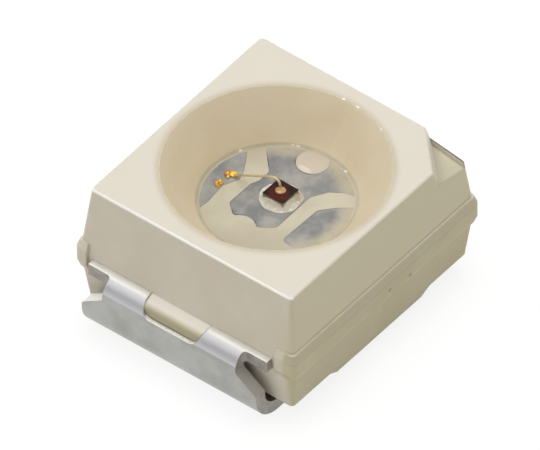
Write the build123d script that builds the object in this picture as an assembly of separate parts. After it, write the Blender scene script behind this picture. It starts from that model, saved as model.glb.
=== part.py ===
from build123d import *
import os
from math import atan2, degrees, radians, sqrt, tan

os.makedirs("parts", exist_ok=True)

# Top view SMD LED on two folded leads. Millimetres, +Z up, +X from the anode end to the cathode end.
# Origin: middle of the package on the board plane, which is the underside of both solder pads.

# Package and housing
PACKAGE_LENGTH = 3.50      # over the outer faces of the two leads
PACKAGE_HEIGHT = 1.75
LEAD_OVERHANG = 0.225      # the outer face of each lead stands this far outside the housing
BODY_WIDTH = 2.85          # at the parting plane, without the ridge
UPPER_DRAFT = 6.0          # degrees, so that each mould half lets go
LOWER_DRAFT = 6.5
BODY_CORNER = 0.05         # radius of the upright corners
TOP_ROUND = 0.025          # rounding of the upper edge
RIDGE_OUT = 0.035          # the parting ridge stands this far out
RIDGE_HEIGHT = 0.36
RIDGE_FLANK = 0.09         # height of each of its sloped flanks
SHOULDER_Z = 0.21          # underside of the housing above the solder pads
FOOT_Z = 0.14              # underside of its middle
FOOT_RUN = 0.13            # length of the slope between the two
FOOT_GAP = 0.02            # the slope ends this far short of the pads

# Lead frame, one flat sheet until it is bent
SHEET = 0.15
FRAME_SHIFT = 0.05         # it lay this far towards +Y in the mould
FLOOR_Z = 0.85             # upper face of the sheet, which is also the floor of the cup
ROOT_DEPTH = 0.575         # the full width of each lead reaches this far into the housing
ARM_HALF = 1.05            # the arms inside the housing end here
EAR_HALF = 1.185           # cut stubs of the carrier strip, one each side of a bend
EAR_OUT = 0.075            # they stand this far out of the housing
EAR_SLIT = 0.055           # open slit between an ear and the end of the ridge
NECK_HALF = 0.88           # narrow part that takes the bend
NECK_Z = 0.615
FLARE_Z = 0.43             # full width below this height
LEAD_HALF = 1.155
LEAD_CORNER = 0.05         # radius of the cut corners
EXIT_RADIUS = 0.20         # outer radius of the bend beside the housing
FOOT_RADIUS = 0.37         # outer radius of the bend above the board
PAD_LENGTH = 0.90          # solder pad with its bend
WINDOW_HALF = 0.40         # window in the bend, filled by a rib of the housing
WINDOW_FOOT_HALF = 0.325
WINDOW_Z = 0.68
WINDOW_CORNER = 0.10
WINDOW_DEPTH = 0.225       # it reaches this far into the housing
RIB_TOP = 0.845            # the upper side of the rib starts at this height
RIB_FALL = 15.0            # degrees, falling outwards
RIB_BACK = 0.05            # it stops this far short of the outer face of the lead
RIB_ROUND = 0.045

# Polarity corner at the cathode end
CORNER_LEG = 0.50
LEDGE_Z = 1.54             # ledge at the foot of its wall
LEDGE_FALL = 14.0          # degrees, falling outwards
WALL_TILT = 17.0           # degrees off upright
FLASH_THICK = 0.02         # thin moulding flash on the far edge of the ledge
FLASH_HEIGHT = 0.06
FLASH_END = 0.05           # it stops this far short of the outer corner

# Reflector cup and resin
RIM_RADIUS = 1.22
FLOOR_RADIUS = 0.855       # where the lines of wall and floor would meet
CUP_ROUND = 0.04           # hollow between the two
RESIN_DROP = 0.01          # the resin meets the wall this far below the rim
RESIN_SAG = 0.04           # and its middle lies this much lower

# Layout of the cup floor
PIN_HOLE = (0.70, 0.07)    # round hole in the die pad
PIN_HOLE_RADIUS = 0.18
NOTCH = (-0.56, 0.07)      # round notch in the tip of the die pad
NOTCH_RADIUS = 0.18
CUT_ROUND = 0.06           # corners of the punched outlines
PAD_EDGE = [               # round the tip of the die pad, from its -Y side to its +Y side
    (0.58, -0.80), (0.53, -0.50), (0.44, -0.355), (0.26, -0.245), (-0.33, -0.255), (-0.445, -0.10),
    (-0.445, 0.25), (-0.33, 0.385), (0.04, 0.385), (0.14, 0.345), (0.30, 0.345), (0.50, 0.54), (0.72, 0.70),
]
WIRE_ARM_ROOT = 0.62       # inner edge of the anode arm at +Y, where it leaves the root
WIRE_ARM_EDGE = [          # and from there to its end
    (-0.46, 0.565), (-0.17, 0.60), (0.01, 0.515), (0.14, 0.56), (0.30, 0.65), (0.50, 0.80),
]
FREE_ARM_ROOT = -0.80      # the same for the arm at -Y
FREE_ARM_EDGE = [
    (-0.50, -0.80), (-0.445, -0.42), (0.15, -0.43), (0.30, -0.565), (0.43, -0.73), (0.48, -0.90),
]

# Chip, adhesive and gold
DIE = (0.065, 0.0)
DIE_WIDTH = 0.27           # it is square
DIE_HEIGHT = 0.185
GLUE_LAYER = 0.015         # adhesive under the chip
GLUE_RADIUS = 0.23
GLUE_CLIMB = 0.09          # height of the fillet against the sides of the chip
WIRE = 0.03
BALL = 0.11
BALL_HEIGHT = 0.04
LOOP_RISE = 0.265          # top of the loop above the ball
LOOP_OFFSET = 0.05         # and how far that top lies towards the wedge
LOOP_ROUND = 0.03
WEDGE = (0.02, 0.63)       # the wire is stitched to the anode here
WEDGE_LENGTH = 0.13
WEDGE_WIDTH = 0.10
WEDGE_HEIGHT = 0.04
BUMP = (-0.175, 0.655)     # second gold bump
BUMP_RADIUS = 0.05
BUMP_HEIGHT = 0.035
GOLD_BEVEL = 0.012         # sloped rims of the squashed ball, the wedge and the bump

STANDING = (Align.CENTER, Align.CENTER, Align.MIN)
lead_x = PACKAGE_LENGTH / 2
body_x = lead_x - LEAD_OVERHANG
body_y = BODY_WIDTH / 2
root_x = body_x - ROOT_DEPTH
root_end = root_x + SHEET
pad_end = lead_x - PAD_LENGTH
sheet_z = FLOOR_Z - SHEET
die_z = FLOOR_Z + GLUE_LAYER
die_top = die_z + DIE_HEIGHT


def punched(points):
    """Flat shape of the frame inside the cup, its corners rounded except at the root it grows out of."""
    shape = make_face(Polyline(*points, close=True))
    return fillet(shape.vertices().filter_by(lambda v: abs(v.X) < root_end), CUT_ROUND)


def both_halves(points):
    """Closed flat shape from the points of its right half."""
    left = [(-x, y) for x, y in reversed(points)]
    return make_face(Polyline(*points, *left, close=True))


def bend_wrap(inset):
    """Everything that the bent lead wraps round at +X, with its skin moved in by the inset."""
    reach = lead_x - inset
    high = FLOOR_Z - inset
    area = make_face(Polyline((0, inset), (reach, inset), (reach, high), (0, high), close=True))
    area = fillet(area.vertices().sort_by_distance((reach, inset))[0], FOOT_RADIUS - inset)
    area = fillet(area.vertices().sort_by_distance((reach, high))[0], EXIT_RADIUS - inset)
    return extrude(Plane.XZ * area, EAR_HALF, both=True)


def window_bar():
    """Bar with the front outline of the window in the bend, from inside the housing to the lead's face."""
    right_half = [(WINDOW_HALF, PACKAGE_HEIGHT), (WINDOW_HALF, FLOOR_Z), (WINDOW_FOOT_HALF, WINDOW_Z)]
    area = both_halves(right_half)
    area = fillet(area.vertices().sort_by(Axis.Y)[:2], WINDOW_CORNER)
    start = body_x - WINDOW_DEPTH
    return Pos(start, FRAME_SHIFT, 0) * extrude(Plane.YZ * area, lead_x - start)


def bent_end():
    """One lead at +X, from its root in the housing to the end of its solder pad."""
    front = both_halves([(NECK_HALF, FLOOR_Z), (NECK_HALF, NECK_Z), (LEAD_HALF, FLARE_Z), (LEAD_HALF, 0)])
    front = fillet(front.vertices().filter_by(lambda v: NECK_Z >= v.Y > 0), LEAD_CORNER)
    wrap = bend_wrap(0)
    strip = (wrap - bend_wrap(SHEET)) & Pos(pad_end, 0, 0) * extrude(Plane.YZ * front, lead_x)
    strip -= Pos(0, 0, FLOOR_Z) * Box(2 * root_x, 2 * EAR_HALF, 2 * SHEET)
    ear_x = body_x + EAR_OUT
    plan = make_face(Polyline((root_x, -EAR_HALF), (ear_x, -EAR_HALF), (ear_x, -NECK_HALF),
                              (lead_x, -NECK_HALF), (lead_x, NECK_HALF), (ear_x, NECK_HALF),
                              (ear_x, EAR_HALF), (root_x, EAR_HALF), close=True))
    relief = plan.vertices().filter_by(lambda v: abs(v.Y) == NECK_HALF and v.X == ear_x)
    root = sheet_metal(fillet(relief, LEAD_CORNER)) & wrap
    return Pos(0, FRAME_SHIFT, 0) * (strip + root) - window_bar()


def sheet_metal(flat):
    """A flat outline as a piece of the lead frame sheet."""
    return extrude(Pos(0, 0, sheet_z) * flat, SHEET)


def make_cathode():
    """Lead at +X: its inner end is the pad that carries the chip."""
    pad = punched([*PAD_EDGE, (root_end, ARM_HALF), (root_end, -ARM_HALF)])
    pad -= Pos(*PIN_HOLE) * Circle(PIN_HOLE_RADIUS)
    pad -= Pos(*NOTCH) * Circle(NOTCH_RADIUS)
    return bent_end() + sheet_metal(pad)


def make_anode():
    """Lead at -X: two arms reach round the tip of the die pad, the one at +Y takes the wire."""
    wire_arm = punched([(-root_end, WIRE_ARM_ROOT), *WIRE_ARM_EDGE,
                        (WIRE_ARM_EDGE[-1][0], ARM_HALF), (-root_end, ARM_HALF)])
    free_arm = punched([(-root_end, FREE_ARM_ROOT), *FREE_ARM_EDGE,
                        (FREE_ARM_EDGE[-1][0], -ARM_HALF), (-root_end, -ARM_HALF)])
    return mirror(bent_end(), Plane.YZ) + sheet_metal(wire_arm) + sheet_metal(free_arm)


def ledge_space(lift):
    """Open space over the polarity ledge, or over a parallel ledge that lies higher by the lift."""
    taper = (PACKAGE_HEIGHT - FLOOR_Z) * tan(radians(UPPER_DRAFT))
    top_x = body_x - taper
    top_y = body_y - taper
    wall_top = (top_x + top_y - CORNER_LEG) / sqrt(2)
    lean = tan(radians(WALL_TILT))
    wall_foot = wall_top + (PACKAGE_HEIGHT - LEDGE_Z - lift) * lean
    far = PACKAGE_LENGTH / 2
    low = LEDGE_Z + lift
    section = make_face(Polyline((wall_foot, low), (wall_foot + far, low - far * tan(radians(LEDGE_FALL))),
                                 (wall_foot + far, 2 * PACKAGE_HEIGHT),
                                 (wall_top - PACKAGE_HEIGHT * lean, 2 * PACKAGE_HEIGHT), close=True))
    corner_plane = Plane(origin=(0, 0, 0), x_dir=(1, -1, 0), z_dir=(-1, -1, 0))
    return extrude(corner_plane * section, PACKAGE_LENGTH, both=True)


def drafted_tier(end_z, draft):
    """Half of the body, from the parting plane to the given height, with its upright edges rounded."""
    tier = extrude(Pos(0, 0, FLOOR_Z) * Rectangle(2 * body_x, BODY_WIDTH), end_z - FLOOR_Z, taper=draft)
    return fillet(tier.edges().group_by(Axis.Z)[1], BODY_CORNER)


def cup_space():
    """Open space of the reflector cup, without its resin."""
    space = Cone(FLOOR_RADIUS, RIM_RADIUS, PACKAGE_HEIGHT - FLOOR_Z, align=STANDING)
    return Pos(0, 0, FLOOR_Z) * fillet(space.edges().sort_by(Axis.Z)[0], CUP_ROUND)


def make_rib():
    """Plastic that fills the window in the bend at +X."""
    front = lead_x - RIB_BACK
    fall = (front - body_x) * tan(radians(RIB_FALL))
    side = make_face(Polyline((0, 0), (front, 0), (front, RIB_TOP - fall), (body_x, RIB_TOP),
                              (0, RIB_TOP), close=True))
    nose = extrude(Plane.XZ * side, WINDOW_HALF, both=True)
    nose = fillet(nose.faces().sort_by(Axis.X)[-1].edges(), RIB_ROUND)
    return window_bar() & Pos(0, FRAME_SHIFT, 0) * nose


def make_housing(leads):
    """Moulded body: drafted tiers, parting ridge, cup, polarity corner and a rib in each lead window."""
    upper = drafted_tier(PACKAGE_HEIGHT, UPPER_DRAFT)
    upper = fillet(upper.faces().sort_by(Axis.Z)[-1].edges(), TOP_ROUND)
    lower = drafted_tier(FOOT_Z, LOWER_DRAFT)
    slope_end = pad_end - FOOT_GAP
    slope_start = slope_end - FOOT_RUN
    under = make_face(Polyline((slope_start, FOOT_Z), (slope_end, SHOULDER_Z), (lead_x, SHOULDER_Z),
                               (lead_x, 0), (slope_start, 0), close=True))
    under_end = extrude(Plane.XZ * under, BODY_WIDTH, both=True)
    lower -= under_end + mirror(under_end, Plane.YZ)
    crest = RectangleRounded(2 * (body_x + RIDGE_OUT), 2 * (body_y + RIDGE_OUT), BODY_CORNER + RIDGE_OUT)
    crest_half = RIDGE_HEIGHT / 2 - RIDGE_FLANK
    flank = extrude(Pos(0, 0, crest_half) * crest, RIDGE_FLANK, taper=degrees(atan2(RIDGE_OUT, RIDGE_FLANK)))
    ridge = Pos(0, 0, FLOOR_Z) * (extrude(crest, crest_half, both=True) + flank + mirror(flank, Plane.XY))
    ridge -= Pos(0, FRAME_SHIFT, FLOOR_Z) * Box(PACKAGE_LENGTH, 2 * (EAR_HALF + EAR_SLIT), PACKAGE_HEIGHT)
    edge_x = body_x - (LEDGE_Z - FLOOR_Z) * tan(radians(UPPER_DRAFT)) - FLASH_THICK
    beside_edge = Box(PACKAGE_LENGTH, BODY_WIDTH, 2 * PACKAGE_HEIGHT, align=Align.MIN)
    flash = Pos(edge_x, FLASH_END - body_y, 0) * beside_edge
    upper -= ledge_space(FLASH_HEIGHT) + (ledge_space(0) - flash)
    rib = make_rib()
    body = upper + lower + ridge + rib + mirror(rib, Plane.YZ)
    body -= cup_space()
    for lead in leads:
        body -= lead
    return body


def make_die():
    """Sawn chip on its layer of adhesive."""
    return Pos(*DIE, die_z + DIE_HEIGHT / 2) * Box(DIE_WIDTH, DIE_WIDTH, DIE_HEIGHT)


def make_glue(die):
    """Adhesive squeezed out round the chip, with a hollow fillet."""
    near = DIE_WIDTH / 2
    fillet_line = SagittaArc((GLUE_RADIUS, 0), (near, GLUE_CLIMB), GLUE_CLIMB / 6)
    section = make_face(Polyline((near, GLUE_CLIMB), (0, GLUE_CLIMB), (0, 0), (GLUE_RADIUS, 0)) + fillet_line)
    return Pos(*DIE, FLOOR_Z) * revolve(Plane.XZ * section, Axis.Z) - die


def make_wire():
    """Gold wire with its ball on the chip and its wedge on the anode, one piece."""
    start = Vector(*DIE, die_top + BALL_HEIGHT / 2)
    end = Vector(*WEDGE, FLOOR_Z + WIRE / 2)
    way = (Vector(*WEDGE) - Vector(*DIE)).normalized()
    knee = start + way * LOOP_OFFSET + Vector(0, 0, LOOP_RISE + BALL_HEIGHT / 2)
    landing = end - way * WEDGE_LENGTH / 2
    route = FilletPolyline(start, knee, landing, end, radius=LOOP_ROUND)
    wire = sweep(Plane(start, z_dir=route % 0) * Circle(WIRE / 2), route)
    ball = Pos(*DIE, die_top + BALL_HEIGHT / 2) * chamfer(Cylinder(BALL / 2, BALL_HEIGHT).edges(), GOLD_BEVEL)
    wedge = extrude(SlotOverall(WEDGE_LENGTH, WEDGE_WIDTH), WEDGE_HEIGHT)
    wedge = chamfer(wedge.faces().sort_by(Axis.Z)[-1].edges(), GOLD_BEVEL)
    return wire + ball + Plane(origin=(*WEDGE, FLOOR_Z), x_dir=way, z_dir=(0, 0, 1)) * wedge


def make_bump():
    """Second gold bump on the anode."""
    bump = Cylinder(BUMP_RADIUS, BUMP_HEIGHT, align=STANDING)
    return Pos(*BUMP, FLOOR_Z) * chamfer(bump.faces().sort_by(Axis.Z)[-1].edges(), GOLD_BEVEL)


def make_resin(inside):
    """Clear resin in the cup, hollow on top where it crept up the wall, cast round all that lies in it."""
    edge_z = PACKAGE_HEIGHT - RESIN_DROP
    wall = RIM_RADIUS - RESIN_DROP * (RIM_RADIUS - FLOOR_RADIUS) / (PACKAGE_HEIGHT - FLOOR_Z)
    surface = TangentArc((0, edge_z - RESIN_SAG), (wall, edge_z), tangent=(1, 0))
    air = Polyline((wall, edge_z), (2 * wall, edge_z), (2 * wall, 2 * edge_z), (0, 2 * edge_z),
                   (0, edge_z - RESIN_SAG))
    resin = cup_space() - revolve(Plane.XZ * make_face(air + surface), Axis.Z)
    for piece in inside:
        resin -= piece
    return resin


cathode_lead = make_cathode()
anode_lead = make_anode()
led_die = make_die()
die_attach = make_glue(led_die)
bond_wire = make_wire()
bond_bump = make_bump()
pieces = {
    "housing": make_housing([cathode_lead, anode_lead]),
    "cathode_lead": cathode_lead,
    "anode_lead": anode_lead,
    "led_die": led_die,
    "die_attach": die_attach,
    "bond_wire": bond_wire,
    "bond_bump": bond_bump,
    "encapsulant": make_resin([led_die, die_attach, bond_wire, bond_bump]),
}
for name, piece in pieces.items():
    export_step(piece, f"parts/{name}.step")
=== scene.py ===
# %% [markdown]
# # A surface mount LED, dressed for its picture
# The object is a white moulded package, 3.5 mm long, on two folded metal leads. A round cup in its top
# holds a tiny red chip under clear resin. The solids come from the CAD model and are already right in
# shape, so most of the work here is light, finish and the few small things that a solid shows too
# plainly: the resin, the gold and the adhesive. Blender counts in metres, so a millimetre is 0.001.

# %% Load the CAD model as a fixed frame
import bpy
import bmesh
import math
from mathutils import Matrix, Vector, noise


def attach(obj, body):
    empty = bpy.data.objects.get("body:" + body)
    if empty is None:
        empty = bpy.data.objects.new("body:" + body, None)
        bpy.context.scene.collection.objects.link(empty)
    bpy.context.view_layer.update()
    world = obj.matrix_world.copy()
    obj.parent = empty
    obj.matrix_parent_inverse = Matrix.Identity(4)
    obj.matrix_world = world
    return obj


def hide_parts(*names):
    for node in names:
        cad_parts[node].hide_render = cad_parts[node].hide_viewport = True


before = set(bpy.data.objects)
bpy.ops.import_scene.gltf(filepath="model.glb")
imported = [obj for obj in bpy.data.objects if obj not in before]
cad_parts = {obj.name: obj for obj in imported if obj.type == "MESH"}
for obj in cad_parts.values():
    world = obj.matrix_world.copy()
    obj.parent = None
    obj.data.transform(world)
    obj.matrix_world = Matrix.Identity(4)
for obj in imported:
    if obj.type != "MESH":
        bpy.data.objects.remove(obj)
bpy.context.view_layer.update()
MM = 0.001
print("CAD nodes:", ", ".join(sorted(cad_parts)))

# %% [markdown]
# ## The camera
# A part this small is photographed from far off through a long lens, so its parallel edges stay
# parallel. An orthographic camera shows that exactly, and its one size is the width of the picture in
# metres. The turn is built from three plain rotations: round the upright axis, down from the horizon,
# and a slight tilt of the picture. The aim follows from one thing that is easy to find in the picture,
# the middle of the rim of the cup.

# %% Place the camera
PICTURE_WIDTH = 540
PICTURE_HEIGHT = 450
PIXELS_PER_MM = 96.37
AZIMUTH = -51.06
ELEVATION = 44.70
ROLL = -0.67
RIM_CENTRE_PIXEL = (276.5, 167.9)
RIM_CENTRE = Vector((0, 0, 1.75)) * MM
CAMERA_DISTANCE = 0.03

turn = (Matrix.Rotation(math.radians(AZIMUTH), 4, "Z")
        @ Matrix.Rotation(math.radians(90 - ELEVATION), 4, "X")
        @ Matrix.Rotation(math.radians(ROLL), 4, "Z"))
right, up, back = (turn.to_3x3() @ Vector(axis) for axis in ((1, 0, 0), (0, 1, 0), (0, 0, 1)))
pixel = MM / PIXELS_PER_MM
aim = (RIM_CENTRE + right * (PICTURE_WIDTH / 2 - RIM_CENTRE_PIXEL[0]) * pixel
       - up * (PICTURE_HEIGHT / 2 - RIM_CENTRE_PIXEL[1]) * pixel)

camera_data = bpy.data.cameras.new("camera")
camera_data.type = "ORTHO"
camera_data.ortho_scale = PICTURE_WIDTH * pixel
camera_data.clip_start = 0.001
camera_data.clip_end = 1.0
camera = bpy.data.objects.new("camera", camera_data)
bpy.context.scene.collection.objects.link(camera)
camera.matrix_world = Matrix.Translation(aim + back * CAMERA_DISTANCE) @ turn
bpy.context.scene.camera = camera
bpy.context.scene.view_settings.view_transform = "Standard"
print("picture width in mm:", round(camera_data.ortho_scale / MM, 3))

# %% [markdown]
# ## Small helpers for node trees
# Every finish below is a handful of nodes. Short helpers keep their wiring readable: one turns the
# familiar 0 to 255 colour into the linear colour that a shader wants, one fills the inputs of a node, one
# adds a node and fills it, and one starts a material with its shader and output joined.

# %% Helpers for colours and nodes
def colour(red, green, blue):
    """Linear colour of a 0 to 255 screen colour."""
    linear = [c / 12.92 if c <= 0.04045 else ((c + 0.055) / 1.055) ** 2.4
              for c in (red / 255, green / 255, blue / 255)]
    return (*linear, 1.0)


def fill(tree, node, **sockets):
    """Fills inputs of a node, by name or by i and a number: a socket is linked, a value is set."""
    for name, value in sockets.items():
        by_number = name[0] == "i" and name[1:].isdigit()
        socket = node.inputs[int(name[1:])] if by_number else node.inputs[name.replace("_", " ")]
        if isinstance(value, bpy.types.NodeSocket):
            tree.links.new(value, socket)
        else:
            socket.default_value = value
    return node


def add(tree, kind, settings=None, **sockets):
    """New node of a tree: settings are its properties, sockets its inputs."""
    node = tree.nodes.new(kind)
    for name, value in (settings or {}).items():
        setattr(node, name, value)
    return fill(tree, node, **sockets)


def new_material(name):
    """Empty material with a Principled shader joined to its output."""
    material = bpy.data.materials.new(name)
    material.use_nodes = True
    tree = material.node_tree
    tree.nodes.clear()
    shader = tree.nodes.new("ShaderNodeBsdfPrincipled")
    output = tree.nodes.new("ShaderNodeOutputMaterial")
    tree.links.new(shader.outputs["BSDF"], output.inputs["Surface"])
    return material, tree, shader, output


# %% [markdown]
# ## Masks
# Masks say where on a surface something happens. They are numbers from 0 to 1, made from a place, a
# direction or a noise. These helpers make them, join them and mix two colours by one. A ramp is smooth at
# both ends, because on a real surface hardly any finish stops at a line.

# %% Helpers for masks
def ramp(tree, value, start, end, low=0.0, high=1.0):
    """Number that goes from low to high while the value goes from start to end."""
    return add(tree, "ShaderNodeMapRange", {"interpolation_type": "SMOOTHSTEP"},
               i0=value, i1=start, i2=end, i3=low, i4=high).outputs[0]


def math_node(tree, operation, first, second=0.0):
    """Result of one step of arithmetic."""
    return add(tree, "ShaderNodeMath", {"operation": operation}, i0=first, i1=second).outputs[0]


def all_of(tree, *masks):
    """Mask that is on where all the given ones are."""
    product = masks[0]
    for mask in masks[1:]:
        product = math_node(tree, "MULTIPLY", product, mask)
    return product


def any_of(tree, *masks):
    """Mask that is on where at least one of the given ones is."""
    most = masks[0]
    for mask in masks[1:]:
        most = math_node(tree, "MAXIMUM", most, mask)
    return most


def band(tree, value, off_below, on_from, on_to, off_above):
    """Mask that is on between two values and fades outside them."""
    return all_of(tree, ramp(tree, value, off_below, on_from), ramp(tree, value, off_above, on_to))


def blend(tree, share, first, second):
    """First colour where the share is 0, second where it is 1."""
    return add(tree, "ShaderNodeMix", {"data_type": "RGBA"}, i0=share, i6=first, i7=second).outputs[2]


# %% [markdown]
# ## The stage
# A white sheet lies under the part. A plain disc is enough, made so wide that no view shows its edge.

# %% Floor disc
FLOOR_RADIUS = 0.25

floor_mesh = bpy.data.meshes.new("floor")
bm = bmesh.new()
bmesh.ops.create_circle(bm, cap_ends=True, segments=96, radius=FLOOR_RADIUS)
bm.to_mesh(floor_mesh)
bm.free()
floor = bpy.data.objects.new("floor", floor_mesh)
bpy.context.scene.collection.objects.link(floor)
print("floor radius in mm:", FLOOR_RADIUS / MM)

# %% [markdown]
# The colour of the sheet depends on who looks. The camera, mirrors and glass see it white. The light that
# it throws back on the part is that of a greyer table, so the undersides don't glow. Near the part it is
# partly a matt surface, which keeps a faint shadow, and partly lit from itself. Farther out it melts into
# plain white, which also hides its edge. More lamp light would whiten it too, but would bleach the part.

# %% Floor sheet
FLOOR_BOUNCE = (0.56, 0.53, 0.46)
FLOOR_MATT = 0.18
FLOOR_LIFT = 0.85
FLOOR_MELTS = (0.004, 0.012)

material, tree, shader, output = new_material("floor_sheet")
light_path = add(tree, "ShaderNodeLightPath").outputs
seen = any_of(tree, *(light_path[f"Is {ray} Ray"] for ray in ("Camera", "Glossy", "Transmission")))
sheet_colour = blend(tree, seen, (*FLOOR_BOUNCE, 1), (FLOOR_MATT, FLOOR_MATT, FLOOR_MATT, 1))
place = add(tree, "ShaderNodeTexCoord")
distance = add(tree, "ShaderNodeVectorMath", {"operation": "LENGTH"}, i0=place.outputs["Object"])
far_seen = all_of(tree, ramp(tree, distance.outputs["Value"], *FLOOR_MELTS), seen)
matt = add(tree, "ShaderNodeBsdfDiffuse", Color=sheet_colour)
lift = add(tree, "ShaderNodeEmission", Color=(1, 1, 1, 1), Strength=FLOOR_LIFT)
lift_seen = add(tree, "ShaderNodeMixShader", i0=seen, i2=lift.outputs[0])
near = add(tree, "ShaderNodeAddShader", i0=matt.outputs[0], i1=lift_seen.outputs[0])
white = add(tree, "ShaderNodeEmission", Color=(1, 1, 1, 1), Strength=1.0)
surface = add(tree, "ShaderNodeMixShader", i0=far_seen, i1=near.outputs[0], i2=white.outputs[0])
fill(tree, output, Surface=surface.outputs[0])
tree.nodes.remove(shader)
floor_mesh.materials.append(material)
print("floor melts into white, in mm:", [round(reach / MM) for reach in FLOOR_MELTS])

# %% [markdown]
# ## Light
# Two kinds of light make a soft studio. The first is the world, a pale tent that is white at the horizon
# and dimmer overhead, so that upright faces are filled and the top keeps its shape.

# %% World
SKY = 0.32
SKY_WARM = (1.0, 0.985, 0.95)
SKY_DIMS = (0.02, 0.30)

world = bpy.data.worlds.new("tent")
bpy.context.scene.world = world
world.use_nodes = True
tree = world.node_tree
tree.nodes.clear()
direction = add(tree, "ShaderNodeTexCoord")
height = add(tree, "ShaderNodeSeparateXYZ", i0=direction.outputs["Generated"])
overhead = ramp(tree, height.outputs["Z"], *SKY_DIMS)
tent = blend(tree, overhead, (1, 1, 1, 1), (*[SKY * c for c in SKY_WARM], 1))
sky = add(tree, "ShaderNodeBackground", Color=tent, Strength=1.0)
add(tree, "ShaderNodeOutputWorld", Surface=sky.outputs[0])
print("sky overhead:", [round(SKY * c, 3) for c in SKY_WARM])

# %% [markdown]
# Two broad suns stand for softboxes. Their wide discs give soft shadows and broad highlights, and unlike
# lamps near the part they need no tuning to its tiny size. The key leans to the camera's left and behind,
# where the bends of the leads and the top edge mirror it. The second comes from above the far side and
# lights the near wall of the cup. Its disc is narrower, because a wide one would be mirrored in the resin
# and lie as a veil over the dark chip.

# %% Lamps
def softbox(name, towards, level, width, tint):
    """Sun lamp of a given angular width, which lights a white surface facing it to the given level."""
    lamp_data = bpy.data.lights.new(name, "SUN")
    lamp_data.energy = level * math.pi
    lamp_data.angle = math.radians(width)
    lamp_data.color = tint
    lamp = bpy.data.objects.new(name, lamp_data)
    bpy.context.scene.collection.objects.link(lamp)
    lamp.rotation_mode = "QUATERNION"
    lamp.rotation_quaternion = Vector(towards).to_track_quat("Z", "Y")
    print(name, "level", level, "width", width)


softbox("key", towards=(-0.22, 0.30, 0.93), level=0.37, width=70, tint=(1.0, 0.998, 0.99))
softbox("far_side", towards=(0.30, 0.00, 0.95), level=0.37, width=44, tint=(1.0, 0.995, 0.985))

# %% [markdown]
# ## Effects that several finishes share
# An effect that more than one finish needs is a node group, built once and placed in every material with
# its own values. That keeps the materials short, and a change to the effect reaches them all.

# %% Helpers for node groups
def new_group(name, inputs, outputs):
    """Shader node group with named inputs (name, kind, default) and outputs (name, kind)."""
    group = bpy.data.node_groups.new(name, "ShaderNodeTree")
    for label, kind, default in inputs:
        socket = group.interface.new_socket(name=label, in_out="INPUT", socket_type=kind)
        socket.default_value = default
    for label, kind in outputs:
        group.interface.new_socket(name=label, in_out="OUTPUT", socket_type=kind)
    return group, group.nodes.new("NodeGroupInput").outputs, group.nodes.new("NodeGroupOutput")


def use_group(tree, group, **sockets):
    """Places a group in a material with its own values and gives its outputs."""
    return add(tree, "ShaderNodeGroup", {"node_tree": group}, **sockets).outputs


# %% [markdown]
# *Placing* gives the place on the part in millimetres, the distance from the middle and from the upright
# axis, and the direction of the surface. It reads Object coordinates, which stay with the part however it
# is turned. Every mask that tells one zone of a piece from another starts here.

# %% Node group: placing
placing, given, result = new_group(
    "placing", [], [("Place", "NodeSocketVector")] + [(label, "NodeSocketFloat") for label in (
        "X", "Y", "Z", "Out", "From Axis", "Up", "Sideways", "Endways")])
source = add(placing, "ShaderNodeTexCoord")
in_mm = add(placing, "ShaderNodeVectorMath", {"operation": "SCALE"},
            i0=source.outputs["Object"], Scale=1 / MM)
where = add(placing, "ShaderNodeSeparateXYZ", i0=in_mm.outputs[0])
flat = add(placing, "ShaderNodeCombineXYZ", i0=where.outputs["X"], i1=where.outputs["Y"])
from_axis = add(placing, "ShaderNodeVectorMath", {"operation": "LENGTH"}, i0=flat.outputs[0])
facing = add(placing, "ShaderNodeSeparateXYZ", i0=source.outputs["Normal"])
fill(placing, result, Place=in_mm.outputs[0], From_Axis=from_axis.outputs["Value"], Up=facing.outputs["Z"],
     X=where.outputs["X"], Y=where.outputs["Y"], Z=where.outputs["Z"],
     Out=math_node(placing, "ABSOLUTE", where.outputs["X"]),
     Sideways=math_node(placing, "ABSOLUTE", facing.outputs["Y"]),
     Endways=math_node(placing, "ABSOLUTE", facing.outputs["X"]))
print("placing gives:", [socket.name for socket in result.inputs if socket.name])

# %% [markdown]
# *Spot* is on round one point, and is full within half its reach. The reach has three sizes, so a spot
# can be a flat or a long one. It stands for marks and gleams that sit in one place.

# %% Node group: spot
spot, given, result = new_group(
    "spot", [("Place", "NodeSocketVector", (0, 0, 0)), ("Centre", "NodeSocketVector", (0, 0, 0)),
             ("Reach", "NodeSocketVector", (0.02, 0.02, 0.02))],
    [("Mask", "NodeSocketFloat")])
offset = add(spot, "ShaderNodeVectorMath", {"operation": "SUBTRACT"}, i0=given["Place"], i1=given["Centre"])
scaled = add(spot, "ShaderNodeVectorMath", {"operation": "DIVIDE"}, i0=offset.outputs[0], i1=given["Reach"])
away = add(spot, "ShaderNodeVectorMath", {"operation": "LENGTH"}, i0=scaled.outputs[0])
fill(spot, result, Mask=ramp(spot, away.outputs["Value"], 1.0, 0.5))


def spot_mask(tree, at, centre, reach):
    """Mask of one spot, its centre and reach in mm."""
    return use_group(tree, spot, Place=at["Place"], Centre=centre, Reach=reach)["Mask"]


# %% [markdown]
# *Soft edge* rounds an edge in shading only, with the Bevel node, which leaves the CAD mesh alone. Where
# the rounded direction differs from the real one there is an edge, so the group also gives a mask of the
# edges, for wear and outlines.

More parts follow.
